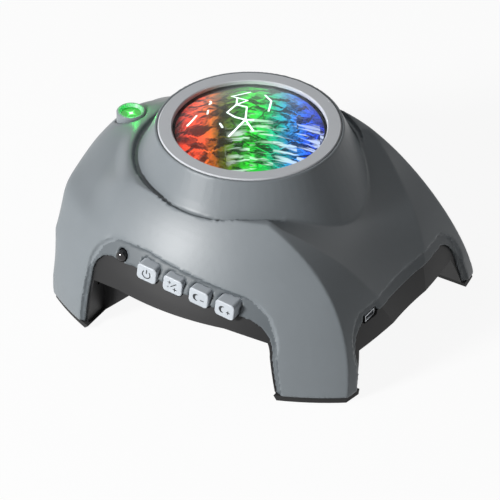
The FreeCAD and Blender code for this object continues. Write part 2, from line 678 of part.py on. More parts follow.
def build_ripple_gear():
    """Gear rim that runs round the deck's collar and carries the ripple lens."""
    teeth_top = RIPPLE_GEAR_Z + RIPPLE_TOOTH_HEIGHT
    teeth = toothed_disc(RIPPLE_MODULE, RIPPLE_TEETH, RIPPLE_GEAR_Z, teeth_top, CROWN_X, 0,
                         RIPPLE_DRIVE_ANGLE)
    sleeve_r = RIPPLE_MODULE * RIPPLE_TEETH / 2 - 1.6 * RIPPLE_MODULE
    sleeve = cylinder(sleeve_r, RIPPLE_GEAR_Z, RIPPLE_GEAR_Z + RIPPLE_GEAR_HEIGHT, CROWN_X)
    bore = cylinder(COLLAR_OUTER_R + RIPPLE_RUNNING_GAP, RIPPLE_GEAR_Z - 1,
                    RIPPLE_GEAR_Z + RIPPLE_GEAR_HEIGHT + 1, CROWN_X)
    return teeth.fuse(sleeve).cut(bore)


def ripple_pinion_at():
    distance = RIPPLE_MODULE * (RIPPLE_TEETH + RIPPLE_PINION_TEETH) / 2 + 0.1
    return around(CROWN_X, 0, distance, RIPPLE_DRIVE_ANGLE)


def build_ripple_pinion():
    x, y = ripple_pinion_at()
    phase = RIPPLE_DRIVE_ANGLE + 180 + 180 / RIPPLE_PINION_TEETH
    low, high = RIPPLE_GEAR_Z - 0.5, RIPPLE_GEAR_Z + RIPPLE_TOOTH_HEIGHT + 0.5
    pinion = toothed_disc(RIPPLE_MODULE, RIPPLE_PINION_TEETH, low, high, x, y, phase)
    return pinion.cut(cylinder(SHAFT_R + AXLE_GAP, low - 1, high + 1, x, y))


def build_ripple_motor():
    """Geared motor under the deck with its shaft through the pinion."""
    x, y = ripple_pinion_at()
    gearbox = cylinder(MOTOR_R, DECK_Z - GEARBOX_HEIGHT, DECK_Z, x, y)
    can = cylinder(MOTOR_R - 1.2, DECK_Z - MOTOR_HEIGHT, DECK_Z - GEARBOX_HEIGHT, x, y)
    shaft = cylinder(SHAFT_R, DECK_Z, RIPPLE_GEAR_Z + RIPPLE_TOOTH_HEIGHT + 1.2, x, y)
    return gearbox.fuse(can).fuse(shaft)


def build_optics_deck():
    """Deck on the casing's posts with the collar that the gear rim runs round."""
    top = DECK_Z + DECK_THICKNESS
    deck = cylinder(DECK_R, DECK_Z, top, CROWN_X)
    deck = deck.fuse(cylinder(COLLAR_LEDGE_R, top, COLLAR_LEDGE_Z, CROWN_X))
    deck = deck.fuse(cylinder(COLLAR_OUTER_R, COLLAR_LEDGE_Z, COLLAR_TOP_Z, CROWN_X))
    deck = deck.cut(cylinder(COLLAR_OUTER_R - COLLAR_WALL, top, COLLAR_TOP_Z + 1, CROWN_X))
    deck = deck.cut(cylinder(SINK_R + GAP, DECK_Z - 1, top + 1, CROWN_X))
    x, y = ripple_pinion_at()
    deck = deck.cut(cylinder(SHAFT_R + 0.6, DECK_Z - 1, top + 1, x, y))
    for angle in DECK_POST_ANGLES:
        x, y = around(CROWN_X, 0, DECK_POST_RADIUS, angle)
        deck = deck.cut(cylinder(SCREW_R + 0.2, DECK_Z - 1, top + 1, x, y))
    return deck


def build_heat_sink():
    """Round block with straight fins, its flange under the deck."""
    top = DECK_Z + DECK_THICKNESS
    sink = cylinder(SINK_R, DECK_Z, top, CROWN_X)
    flange_low = DECK_Z - SINK_FLANGE_THICKNESS
    sink = sink.fuse(cylinder(SINK_FLANGE_R, flange_low, DECK_Z, CROWN_X))
    count = int(SINK_R // SINK_FIN_PITCH)
    for index in range(-count, count + 1):
        offset = index * SINK_FIN_PITCH
        half = math.sqrt(SINK_R ** 2 - offset ** 2)
        sink = sink.fuse(block((CROWN_X - half, CROWN_X + half),
                               (offset - SINK_FIN_THICKNESS / 2, offset + SINK_FIN_THICKNESS / 2),
                               (flange_low - SINK_FIN_DEPTH, flange_low)))
    return sink


def lamp_places():
    """Red, green and blue lamps in a row, and a white one behind."""
    return [(CROWN_X - LAMP_PITCH, 0), (CROWN_X, 0), (CROWN_X + LAMP_PITCH, 0), (CROWN_X, LAMP_PITCH)]


def lamp_base_z():
    return DECK_Z + DECK_THICKNESS + BOARD_THICKNESS


def build_lamp_board():
    return cylinder(LAMP_BOARD_R, DECK_Z + DECK_THICKNESS, lamp_base_z(), CROWN_X)


def build_lamps():
    half = LAMP_SIDE / 2
    z = lamp_base_z()
    return Part.makeCompound([block((x - half, x + half), (y - half, y + half), (z, z + LAMP_HEIGHT))
                              for x, y in lamp_places()])


def build_condenser_lenses():
    """One small domed lens with a hollow foot over each lamp."""
    z = lamp_base_z()
    shapes = []
    for x, y in lamp_places():
        foot = cylinder(CONDENSER_R, z, z + LAMP_HEIGHT + CONDENSER_STAND, x, y)
        cap_z = z + LAMP_HEIGHT + CONDENSER_STAND
        rise = 3.4
        sphere_r = (CONDENSER_R ** 2 + rise ** 2) / (2 * rise)
        ball = Part.makeSphere(sphere_r, V(x, y, cap_z + rise - sphere_r))
        cap = ball.common(cylinder(CONDENSER_R, cap_z, cap_z + rise + 1, x, y))
        hollow = cylinder(CONDENSER_R - 1.4, z - 1, z + LAMP_HEIGHT + 0.4, x, y)
        shapes.append(foot.fuse(cap).cut(hollow))
    return Part.makeCompound(shapes)


def build_laser_bezel():
    """Round emitter housing that stands through the left shoulder."""
    low, high = LASER_TOP_Z - BEZEL_DEPTH, LASER_TOP_Z
    soft = 0.7
    points = [(BEZEL_BORE_R, low), (BEZEL_R, low), (BEZEL_R, high - soft), (BEZEL_R - soft, high),
              (BEZEL_BORE_R + 0.8, high), (BEZEL_BORE_R, high - 1.4)]
    return turned(points, LASER_X, LASER_Y)


def build_laser_window():
    high = LASER_TOP_Z - 1.6
    return cylinder(BEZEL_BORE_R, high - WINDOW_THICKNESS, high, LASER_X, LASER_Y)


def build_laser_module():
    """Brass barrel with a stepped front and a small aperture."""
    low = BARREL_TOP_Z - BARREL_LENGTH
    barrel = cylinder(BARREL_R, low, BARREL_TOP_Z, LASER_X, LASER_Y)
    return barrel.cut(cylinder(1.1, BARREL_TOP_Z - 1.5, BARREL_TOP_Z + 1, LASER_X, LASER_Y))


def grating_axis():
    return LASER_X + GRATING_SHIFT, LASER_Y


def grating_pinion_at():
    distance = GRATING_MODULE * (GRATING_TEETH + GRATING_PINION_TEETH) / 2 + 0.08
    x, y = grating_axis()
    return x, y - distance


def build_laser_bracket():
    """Plate that holds the laser barrel, the grating wheel's axle and the small motor."""
    top = BRACKET_Z + BRACKET_THICKNESS
    x, y = grating_axis()
    px, py = grating_pinion_at()
    plate = block((LASER_X - 6, BRACKET_POSTS[0][0] + 5), (py - 12, LASER_Y + 17), (BRACKET_Z, top))
    plate = plate.fuse(cylinder(2.1, top, GRATING_Z - GAP, x, y))
    plate = plate.fuse(cylinder(GRATING_AXLE_R, GRATING_Z - 1, GRATING_Z + GRATING_THICKNESS + 0.8, x, y))
    plate = plate.cut(cylinder(BARREL_R, BRACKET_Z - 1, top + 6, LASER_X, LASER_Y))
    plate = plate.cut(cylinder(SMALL_SHAFT_R + 0.5, BRACKET_Z - 1, top + 1, px, py))
    for hx, hy in BRACKET_POSTS:
        plate = plate.cut(cylinder(SCREW_R + 0.2, BRACKET_Z - 1, top + 1, hx, hy))
    return plate


def build_grating_wheel():
    x, y = grating_axis()
    high = GRATING_Z + GRATING_THICKNESS
    wheel = toothed_disc(GRATING_MODULE, GRATING_TEETH, GRATING_Z, high, x, y, 270)
    return wheel.cut(cylinder(GRATING_AXLE_R + AXLE_GAP, GRATING_Z - 1, high + 1, x, y))


def build_grating_pinion():
    x, y = grating_pinion_at()
    low, high = GRATING_Z - 0.4, GRATING_Z + GRATING_THICKNESS + 0.4
    pinion = toothed_disc(GRATING_MODULE, GRATING_PINION_TEETH, low, high, x, y,
                          90 + 180 / GRATING_PINION_TEETH)
    return pinion.cut(cylinder(SMALL_SHAFT_R + AXLE_GAP, low - 1, high + 1, x, y))


def build_grating_motor():
    x, y = grating_pinion_at()
    can = cylinder(SMALL_MOTOR_R, BRACKET_Z - SMALL_MOTOR_HEIGHT, BRACKET_Z, x, y)
    return can.fuse(cylinder(SMALL_SHAFT_R, BRACKET_Z, GRATING_Z + GRATING_THICKNESS + 0.9, x, y))


def build_key(index):
    """Key cap with softened face edges and a slimmer foot behind."""
    cap = key_cut(index, 0, KEY_DEPTH)
    face = [e for e in cap.Edges if all(abs(v.Point.y - KEY_FACE_Y) < 0.01 for v in e.Vertexes)]
    return cap.makeFillet(KEY_SOFT_EDGE, face)


def build_key_board():
    return key_board_plate(0)


def build_key_switches():
    """One switch with a round plunger behind each key, and the receiver's block."""
    shapes = []
    back = KEY_BOARD_Y
    for index in range(len(KEY_NAMES)):
        c = key_centre(index)
        half = SWITCH_SIDE / 2
        body = block((c.x - half, c.x + half), (back - SWITCH_DEPTH, back), (c.z - half, c.z + half))
        tip = V(c.x, back - SWITCH_DEPTH - PLUNGER_LENGTH, c.z)
        plunger = Part.makeCylinder(PLUNGER_R, PLUNGER_LENGTH, tip, BACK)
        shapes.append(body.fuse(plunger))
    return Part.makeCompound(shapes)


def build_receiver_window():
    """Dark plug with a domed front."""
    rise = RECEIVER_DOME
    front = V(RECEIVER_X, RECEIVER_FACE_Y + rise, RECEIVER_Z)
    plug = Part.makeCylinder(RECEIVER_R, RECEIVER_LENGTH - rise, front, BACK)
    dome_r = (RECEIVER_R ** 2 + rise ** 2) / (2 * rise)
    ball = Part.makeSphere(dome_r, V(RECEIVER_X, RECEIVER_FACE_Y + dome_r, RECEIVER_Z))
    front = Part.makeCylinder(RECEIVER_R, rise, V(RECEIVER_X, RECEIVER_FACE_Y, RECEIVER_Z), BACK)
    return plug.fuse(ball.common(front))


def build_receiver_chip():
    side, half = RECEIVER_CHIP[0] / 2, RECEIVER_CHIP[1] / 2
    low = RECEIVER_FACE_Y + RECEIVER_LENGTH + GAP
    return block((RECEIVER_X - side, RECEIVER_X + side), (low, KEY_BOARD_Y),
                 (RECEIVER_Z - half, RECEIVER_Z + half))


def build_inlet_board():
    board = block(*inlet_board_box(0))
    hole = cylinder(SCREW_R + 0.2, INLET_BOARD_Z - 1, INLET_BOARD_Z + 4, INLET_POST[0], INLET_POST[1])
    return board.cut(hole)


def build_power_inlet():
    """Metal socket shell with its tongue."""
    wide, deep, tall = INLET_BODY
    wall = 0.4
    x_low, x_high = INLET_FACE_X - deep, INLET_FACE_X
    y_low, y_high = INLET_Y - wide / 2, INLET_Y + wide / 2
    z_low, z_high = INLET_Z - tall / 2, INLET_Z + tall / 2
    shell = block((x_low, x_high), (y_low, y_high), (z_low, z_high))
    hollow = block((x_low + 2.5, x_high + 1), (y_low + wall, y_high - wall), (z_low + wall, z_high - wall))
    tongue = block((x_low + 2, x_high - 1), (y_low + 1.6, y_high - 1.6), (INLET_Z - 0.4, INLET_Z + 0.4))
    return shell.cut(hollow).fuse(tongue)


def build_speaker():
    """Speaker facing down: rim, basket and magnet."""
    z = FLOOR_Z
    points = [(0, z + 2.4), (SPEAKER_R * 0.35, z + 2.4), (SPEAKER_R - 2.4, z + 0.9), (SPEAKER_R - 2.4, z),
              (SPEAKER_R, z), (SPEAKER_R, z + 1.6), (SPEAKER_R - 2.0, z + 1.6), (SPEAKER_R * 0.55, z + 6.0),
              (SPEAKER_R * 0.55, z + SPEAKER_HEIGHT),
              (0, z + SPEAKER_HEIGHT)]
    return turned(points, SPEAKER_X, SPEAKER_Y)


def build_main_board():
    board = block((MAIN_BOARD_X - MAIN_BOARD[0] / 2, MAIN_BOARD_X + MAIN_BOARD[0] / 2),
                  (MAIN_BOARD_Y - MAIN_BOARD[1] / 2, MAIN_BOARD_Y + MAIN_BOARD[1] / 2),
                  (MAIN_BOARD_Z, MAIN_BOARD_Z + BOARD_THICKNESS))
    for x, y in main_board_holes():
        board = board.cut(cylinder(SCREW_R + 0.2, MAIN_BOARD_Z - 1, MAIN_BOARD_Z + 4, x, y))
    return board


def build_board_parts():
    """Controller, amplifier, capacitor and wire sockets on the main board."""
    z = MAIN_BOARD_Z + BOARD_THICKNESS
    x, y = MAIN_BOARD_X, MAIN_BOARD_Y
    shapes = [block((x - 5, x + 5), (y - 4, y + 6), (z, z + 1.6)),
              block((x - 4, x + 2), (y - 16, y - 11), (z, z + 1.5)),
              cylinder(3.0, z, z + 8.0, x + 10, y + 12),
              block((x - 14, x - 10), (y - 9, y + 9), (z, z + 5.5)),
              block((x + 9, x + 13), (y - 14, y - 4), (z, z + 5.5))]
    return Part.makeCompound(shapes)


def build_screws(places, head_z, direction=-1):
    return Part.makeCompound([screw(x, y, head_z, direction) for x, y in places])


def build_casing_screws():
    shapes = []
    for x, y in CASING_SCREWS:
        head = cylinder(SCREW_HEAD_R, BELLY_Z - SCREW_HEAD_HEIGHT, BELLY_Z, x, y)
        shapes.append(head.fuse(cylinder(SCREW_R, BELLY_Z, BELLY_Z + CASING_SCREW_LENGTH, x, y)))
    return Part.makeCompound(shapes)


def build_all():
    save("upper_shell", build_upper_shell())
    save("lower_casing", build_lower_casing())
    save("foot_pads", build_foot_pads())
    save("crown_ring", build_crown_ring())
    save("lens_cover", build_lens_cover())
    save("light_shroud", build_light_shroud())
    save("ripple_lens", build_ripple_lens())
    save("ripple_gear", build_ripple_gear())
    save("ripple_pinion", build_ripple_pinion())
    save("ripple_motor", build_ripple_motor())
    save("optics_deck", build_optics_deck())
    save("heat_sink", build_heat_sink())
    save("lamp_board", build_lamp_board())
    save("lamps", build_lamps())
    save("condenser_lenses", build_condenser_lenses())
    save("laser_bezel", build_laser_bezel())
    save("laser_window", build_laser_window())
    save("laser_module", build_laser_module())
    save("laser_bracket", build_laser_bracket())
    save("grating_wheel", build_grating_wheel())
    save("grating_pinion", build_grating_pinion())
    save("grating_motor", build_grating_motor())
    for index, name in enumerate(KEY_NAMES):
        save(name, build_key(index))
    save("key_board", build_key_board())
    save("key_switches", build_key_switches())
    save("receiver_window", build_receiver_window())
    save("receiver_chip", build_receiver_chip())
    save("inlet_board", build_inlet_board())
    save("power_inlet", build_power_inlet())
    save("speaker", build_speaker())
    save("main_board", build_main_board())
    save("board_parts", build_board_parts())
    deck_places = [around(CROWN_X, 0, DECK_POST_RADIUS, angle) for angle in DECK_POST_ANGLES]
    save("deck_screws", build_screws(deck_places, DECK_Z + DECK_THICKNESS))
    save("board_screws", build_screws(main_board_holes(), MAIN_BOARD_Z + BOARD_THICKNESS))
    save("bracket_screws", build_screws(BRACKET_POSTS, BRACKET_Z + BRACKET_THICKNESS))
    save("inlet_screw", build_screws([INLET_POST], INLET_BOARD_Z + BOARD_THICKNESS))
    save("casing_screws", build_casing_screws())


build_all()
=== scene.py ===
"""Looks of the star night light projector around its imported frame.

Lengths are in metres. Names that end in _MM or _mm are in millimetres, and so are the water
pattern and the outlines of the creases and the key marks. The camera, the daylight and the
floor come first, then the finishes, then the pieces that the frame doesn't hold.
"""

import math
import random

import bmesh
import bpy
import numpy as np
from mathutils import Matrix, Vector


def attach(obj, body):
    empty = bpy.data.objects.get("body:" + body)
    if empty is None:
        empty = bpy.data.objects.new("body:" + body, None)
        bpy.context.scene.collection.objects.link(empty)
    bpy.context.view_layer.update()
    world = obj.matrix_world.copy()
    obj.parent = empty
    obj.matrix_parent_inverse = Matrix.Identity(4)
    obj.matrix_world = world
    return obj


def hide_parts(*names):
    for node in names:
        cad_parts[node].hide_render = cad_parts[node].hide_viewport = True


MM = 0.001

# Camera: the photograph's view, from the front right and above
VIEW_AZIMUTH = math.radians(31.5)
VIEW_ELEVATION = math.radians(36.3)
VIEW_DISTANCE = 4.8
VIEW_WIDTH = 0.2381            # what the picture spans at the object
VIEW_AIM_RIGHT = -3.34 * MM    # picture's middle, seen from the frame's origin
VIEW_AIM_UP = 15.94 * MM
SENSOR_WIDTH = 36.0
CLIP_NEAR = 0.05
CLIP_FAR = 30

# Daylight: name, place, size and power of each softbox, all turned to the object's middle
WORLD_LEVEL = 0.045
OBJECT_MIDDLE = (0, 0, 0.05)
SOFTBOXES = (
    ("key_softbox", (-0.72, -1.48, 0.72), 0.40, 42.0),
    ("front_top_softbox", (-0.9, -0.3, 1.7), 0.5, 3.0),
    ("right_strip", (0.9, 1.7, 1.2), 0.2, 2.2),
)
FLOOR_HALF = 4.0
FLOOR_Z = -0.1 * MM
FLOOR_WHITE = 0.92             # share of plain white that the camera sees in the floor

# Laser emitter on the left shoulder, with the green light that it throws on its bezel
LASER_X = -70.1 * MM
WINDOW_Z = 0.0736
GLOW_Z = 0.0800
GLOW_COLOUR = (0.03, 1.0, 0.10)
GLOW_POWER = 0.006
GLOW_R = 0.002

# Crown, and the inner sphere of the clear cover over it
CROWN_X = -4.1 * MM
DOME_CENTRE_Z = 9.96 * MM
DOME_INNER_R = 85.44 * MM

# Keys in their row, which falls to the right
KEY_FACE_Y = -73.3 * MM
KEY_FIRST_X = -16.1 * MM
KEY_FIRST_Z = 45.4 * MM
KEY_PITCH = 14.3 * MM
KEY_TILT = math.radians(6.0)
KEY_MIDDLES = {name: (KEY_FIRST_X + i * KEY_PITCH, KEY_FIRST_Z - i * KEY_PITCH * math.tan(KEY_TILT))
               for i, name in enumerate(("power_key", "mode_key", "dimmer_key", "brighter_key"))}


# Camera, daylight and floor

def linear(hex_colour):
    """sRGB hex value as linear RGBA."""
    parts = [int(hex_colour[i:i + 2], 16) / 255 for i in (1, 3, 5)]
    return [c / 12.92 if c <= 0.04045 else ((c + 0.055) / 1.055) ** 2.4 for c in parts] + [1.0]


def add(tree, kind, links=None, **settings):
    """Adds a node, sets its fields or sockets (i0 is socket 0), and links its sockets from others."""
    node = tree.nodes.new(kind)
    for name, value in settings.items():
        if hasattr(node, name):
            setattr(node, name, value)
        else:
            numbered = name[0] == "i" and name[1:].isdigit()
            key = int(name[1:]) if numbered else name.replace("_", " ")
            node.inputs[key].default_value = value
    for name, source in (links or {}).items():
        tree.links.new(source, node.inputs[name])
    return node


def stand_camera():
    a, e = VIEW_AZIMUTH, VIEW_ELEVATION
    back = Vector((math.sin(a) * math.cos(e), -math.cos(a) * math.cos(e), math.sin(e)))
    right = Vector((math.cos(a), math.sin(a), 0))
    up = back.cross(right)
    data = bpy.data.cameras.new("photo_camera")
    data.sensor_width = SENSOR_WIDTH
    data.lens = SENSOR_WIDTH * VIEW_DISTANCE / VIEW_WIDTH
    data.clip_start, data.clip_end = CLIP_NEAR, CLIP_FAR
    camera = bpy.data.objects.new("photo_camera", data)
    bpy.context.scene.collection.objects.link(camera)
    camera.location = right * VIEW_AIM_RIGHT + up * VIEW_AIM_UP + back * VIEW_DISTANCE
    camera.rotation_mode = "QUATERNION"
    camera.rotation_quaternion = (-back).to_track_quat("-Z", "Y")
    bpy.context.scene.camera = camera


def hang_softbox(name, place, size, energy):
    data = bpy.data.lights.new(name, "AREA")
    data.shape = "DISK"
    data.size, data.energy = size, energy
    lamp = bpy.data.objects.new(name, data)
    bpy.context.scene.collection.objects.link(lamp)
    lamp.location = place
    lamp.rotation_mode = "QUATERNION"
    lamp.rotation_quaternion = (Vector(OBJECT_MIDDLE) - Vector(place)).to_track_quat("-Z", "Y")


def seen_directly(tree):
    """1 for rays from the camera, a mirror or a pane, 0 for the rays that light the object."""
    path = add(tree, "ShaderNodeLightPath")
    two = add(tree, "ShaderNodeMath",
              {0: path.outputs["Is Camera Ray"], 1: path.outputs["Is Glossy Ray"]},
              operation="MAXIMUM")
    three = add(tree, "ShaderNodeMath",
                {0: two.outputs[0], 1: path.outputs["Is Transmission Ray"]},
                operation="MAXIMUM")
    return three.outputs[0]


def light_studio():
    world = bpy.data.worlds.new("white_studio")
    bpy.context.scene.world = world
    world.use_nodes = True
    tree = world.node_tree
    tree.nodes.clear()
    strength = add(tree, "ShaderNodeMapRange", {"Value": seen_directly(tree)},
                   To_Min=WORLD_LEVEL, To_Max=1.0)
    sky = add(tree, "ShaderNodeBackground", {"Strength": strength.outputs[0]}, Color=(1, 1, 1, 1))
    add(tree, "ShaderNodeOutputWorld", {"Surface": sky.outputs[0]})
    for name, place, size, energy in SOFTBOXES:
        hang_softbox(name, place, size, energy)
    glow = bpy.data.lights.new("emitter_glow", "POINT")
    glow.color, glow.energy, glow.shadow_soft_size = GLOW_COLOUR, GLOW_POWER, GLOW_R
    spot = bpy.data.objects.new("emitter_glow", glow)
    spot.location = (LASER_X, 0, GLOW_Z)
    bpy.context.scene.collection.objects.link(spot)


def lay_floor():
    mesh = bpy.data.meshes.new("studio_floor")
    corners = [(x * FLOOR_HALF, y * FLOOR_HALF, FLOOR_Z) for x, y in ((-1, -1), (1, -1), (1, 1), (-1, 1))]
    mesh.from_pydata(corners, [], [(0, 1, 2, 3)])
    floor = bpy.data.objects.new("studio_floor", mesh)
    bpy.context.scene.collection.objects.link(floor)
    material, tree = new_finish("white_floor_paint")
    paint = add(tree, "ShaderNodeBsdfDiffuse", Color=linear("#f6f6f6"))
    white = add(tree, "ShaderNodeEmission", Color=(1, 1, 1, 1), Strength=1.0)
    share = add(tree, "ShaderNodeMapRange", {"Value": seen_directly(tree)},
                To_Min=0.0, To_Max=FLOOR_WHITE)
    mix = add(tree, "ShaderNodeMixShader",
              {0: share.outputs[0], 1: paint.outputs[0], 2: white.outputs[0]})
    add(tree, "ShaderNodeOutputMaterial", {"Surface": mix.outputs[0]})
    mesh.materials.append(material)


# Finishes

MOTTLE_SIZE = 18 * MM          # clouds of slightly uneven colour and sheen in a moulding
MOULD_SHEEN_SPREAD = 0.03
METAL_SHEEN_SPREAD = 0.06
TOOL_LINE_DEPTH = 0.02 * MM
TRACK_PITCH = 4 * MM
TRACK_SHARE = 0.06             # half the width of a track, as a share of the pitch

# The spark in the emitter's window: its reach in millimetres, and how thin its points are
SPARK_REACH_MM = 5.0
SPARK_THINNESS = 1.6
SPARK_COLOURS = ((0.0, "#ffffff"), (0.22, "#f2fff3"), (0.36, "#62f870"), (0.62, "#18b42c"),
                 (1.0, "#0a6a18"))

# The lit water pattern, in millimetres from the crown's axis, across and away from the camera
LAMP_BANDS = ((0.03, "#5a0c06"), (0.09, "#e23a22"), (0.18, "#f2522c"), (0.25, "#c8641c"),
              (0.30, "#5e470a"), (0.36, "#4d6a0c"), (0.42, "#1f7a12"), (0.50, "#1fce22"),
              (0.60, "#14c448"), (0.68, "#12a58c"), (0.76, "#2a90d6"), (0.86, "#1c58e2"),
              (0.97, "#0b2cb4"))
BANDS_HALF_MM = 36.0           # the lamps' colours run from this far left to this far right
BENDS_PER_MM = 0.13            # about 8 mm from bend to bend
BEND_REACH_MM = 9.0            # how far the bends carry the colours
FOLDS_PER_MM = 0.22            # about 5 mm from fold to fold
FACET_LIGHT = (-1.5, 2.1)      # facets turned to the far left pass more of the lamps' light
STREAKS_PER_MM = 0.36          # about 3 mm from streak to streak
STREAK_LENGTH = 0.13           # how slowly a streak changes along its length
PANEL_MM = 11.0                # streaks are cut into panels of this width
PANEL_JUMP_MM = 4.7            # and jump this far from one panel to the next
STREAK_EDGE = (0.52, 0.60)     # noise level at which a streak starts, and at which it is full
STREAK_NEAR_MM = (9.0, -4.0)   # streaks fade in over this stretch towards the camera
STREAK_SIDE_MM = (-12.0, -6.0)  # and over this stretch towards the green and blue side


def new_finish(name):
    material = bpy.data.materials.new(name)
    material.use_nodes = True
    material.node_tree.nodes.clear()
    return material, material.node_tree


def set_ramp(ramp, stops):
    points = ramp.color_ramp.elements
    while len(points) > 1:
        points.remove(points[-1])
    points[0].position, points[0].color = stops[0][0], linear(stops[0][1])
    for place, colour in stops[1:]:
        points.new(place).color = linear(colour)


def moulded_plastic(name, colour, roughness, grain_mm, relief_mm, ior=1.5, mottle=0.05):
    """Injection-moulded plastic from a spark-eroded tool: even colour, fine pitted grain, soft sheen."""
    material, tree = new_finish(name)
    place = add(tree, "ShaderNodeTexCoord").outputs["Object"]
    grain = add(tree, "ShaderNodeTexNoise", {"Vector": place}, Scale=1 / (grain_mm * MM), Detail=2.0)
    bump = add(tree, "ShaderNodeBump", {"Height": grain.outputs["Fac"]},
               Strength=0.5, Distance=relief_mm * MM)
    cloud = add(tree, "ShaderNodeTexNoise", {"Vector": place}, Scale=1 / MOTTLE_SIZE, Detail=3.0)
    base = linear(colour)[:3]
    tint = add(tree, "ShaderNodeMix", {0: cloud.outputs["Fac"]}, data_type="RGBA",
               i6=[c * (1 - mottle) for c in base] + [1],
               i7=[c * (1 + mottle) for c in base] + [1])
    sheen = add(tree, "ShaderNodeMapRange", {"Value": cloud.outputs["Fac"]},
                To_Min=roughness - MOULD_SHEEN_SPREAD, To_Max=roughness + MOULD_SHEEN_SPREAD)
    shader = add(tree, "ShaderNodeBsdfPrincipled",
                 {"Base Color": tint.outputs[2], "Roughness": sheen.outputs[0],
                  "Normal": bump.outputs[0]}, IOR=ior)
    add(tree, "ShaderNodeOutputMaterial", {"Surface": shader.outputs[0]})
    return material


def turned_metal(name, colour, roughness, line_mm):
    """Bare metal with fine tool lines, which spread its reflections."""
    material, tree = new_finish(name)
    place = add(tree, "ShaderNodeTexCoord").outputs["Object"]
    lines = add(tree, "ShaderNodeTexNoise", {"Vector": place}, Scale=1 / (line_mm * MM), Detail=3.0)
    bump = add(tree, "ShaderNodeBump", {"Height": lines.outputs["Fac"]},
               Strength=0.3, Distance=TOOL_LINE_DEPTH)
    sheen = add(tree, "ShaderNodeMapRange", {"Value": lines.outputs["Fac"]},
                To_Min=roughness - METAL_SHEEN_SPREAD, To_Max=roughness + METAL_SHEEN_SPREAD)
    shader = add(tree, "ShaderNodeBsdfPrincipled",
                 {"Roughness": sheen.outputs[0], "Normal": bump.outputs[0]},
                 Base_Color=linear(colour), Metallic=1.0)
    add(tree, "ShaderNodeOutputMaterial", {"Surface": shader.outputs[0]})
    return material


def circuit_lacquer():
    """Green solder lacquer over copper tracks, glossy, with the tracks as paler lines."""
    material, tree = new_finish("green_solder_lacquer")
    place = add(tree, "ShaderNodeTexCoord").outputs["Object"]
    tracks = add(tree, "ShaderNodeTexVoronoi", {"Vector": place},
                 feature="DISTANCE_TO_EDGE", distance="EUCLIDEAN", Scale=1 / TRACK_PITCH)
    line = add(tree, "ShaderNodeMath", {0: tracks.outputs["Distance"]},
               operation="LESS_THAN", i1=TRACK_SHARE)
    tint = add(tree, "ShaderNodeMix", {0: line.outputs[0]}, data_type="RGBA",
               i6=linear("#0f4a2a"), i7=linear("#2c7a4c"))
    shader = add(tree, "ShaderNodeBsdfPrincipled", {"Base Color": tint.outputs[2]},
                 Roughness=0.3, IOR=1.55)
    add(tree, "ShaderNodeOutputMaterial", {"Surface": shader.outputs[0]})
    return material


def clear_acrylic(name, colour, roughness, ior=1.49):
    """Cast or moulded clear acrylic: polished, thin, passes light."""
    material, tree = new_finish(name)
    shader = add(tree, "ShaderNodeBsdfPrincipled", Base_Color=linear(colour), Roughness=roughness,
                 IOR=ior, Transmission_Weight=1.0)
    add(tree, "ShaderNodeOutputMaterial", {"Surface": shader.outputs[0]})
    return material


def emitter_glass():
    """Green filter glass over the laser, brightest in the middle where the beam comes out."""
    material, tree = new_finish("green_filter_glass")
    place = add(tree, "ShaderNodeTexCoord").outputs["Object"]
    local = add(tree, "ShaderNodeMapping", {"Vector": place}, vector_type="TEXTURE",
                Location=(LASER_X, 0, WINDOW_Z), Scale=(MM, MM, MM)).outputs[0]
    parts = add(tree, "ShaderNodeSeparateXYZ", {"Vector": local})
    away = add(tree, "ShaderNodeVectorMath", {0: local}, operation="LENGTH")
    # a four-pointed spark: bright where both |x y| and the distance from the middle are small
    cross = add(tree, "ShaderNodeMath", {0: parts.outputs["X"], 1: parts.outputs["Y"]},
                operation="MULTIPLY")
    thin = add(tree, "ShaderNodeMath", {0: cross.outputs[0]}, operation="ABSOLUTE")
    spread = add(tree, "ShaderNodeMath", {0: thin.outputs[0]},
                 operation="MULTIPLY", i1=SPARK_THINNESS)
    reach = add(tree, "ShaderNodeMath", {0: away.outputs["Value"], 1: spread.outputs[0]},
                operation="ADD")
    share = add(tree, "ShaderNodeMath", {0: reach.outputs[0]},
                operation="DIVIDE", i1=SPARK_REACH_MM)
    ramp = add(tree, "ShaderNodeValToRGB", {0: share.outputs[0]})
    set_ramp(ramp, SPARK_COLOURS)
    shader = add(tree, "ShaderNodeBsdfPrincipled", {"Emission Color": ramp.outputs[0]},
                 Base_Color=linear("#0b5a14"), Roughness=0.1, Emission_Strength=1.1,
                 Coat_Weight=0.6)
    add(tree, "ShaderNodeOutputMaterial", {"Surface": shader.outputs[0]})
    return material


def fold_shade(tree, place, bent):
    """Light and dark of the water pattern: soft folds, and facets that face the lamps or don't."""
    folds = add(tree, "ShaderNodeTexNoise", {"Vector": bent},
                Scale=FOLDS_PER_MM, Detail=5.0, Roughness=0.62, Distortion=1.6)
    facing = add(tree, "ShaderNodeVectorMath",
                 {0: add(tree, "ShaderNodeNewGeometry").outputs["True Normal"]},
                 operation="DOT_PRODUCT", i1=(*FACET_LIGHT, 0.0))
    dome = add(tree, "ShaderNodeVectorMath", {0: place}, operation="DOT_PRODUCT",
               i1=(FACET_LIGHT[0] / DOME_INNER_R, FACET_LIGHT[1] / DOME_INNER_R, 0.0))
    tilt = add(tree, "ShaderNodeMath", {0: facing.outputs["Value"], 1: dome.outputs["Value"]},
               operation="SUBTRACT")
    level = add(tree, "ShaderNodeMath", {0: folds.outputs["Fac"], 1: tilt.outputs[0]},
                operation="ADD")
    shade = add(tree, "ShaderNodeMapRange", {"Value": level.outputs[0]},
                From_Min=0.22, From_Max=0.62, To_Min=0.12, To_Max=1.25)
    return shade.outputs[0]


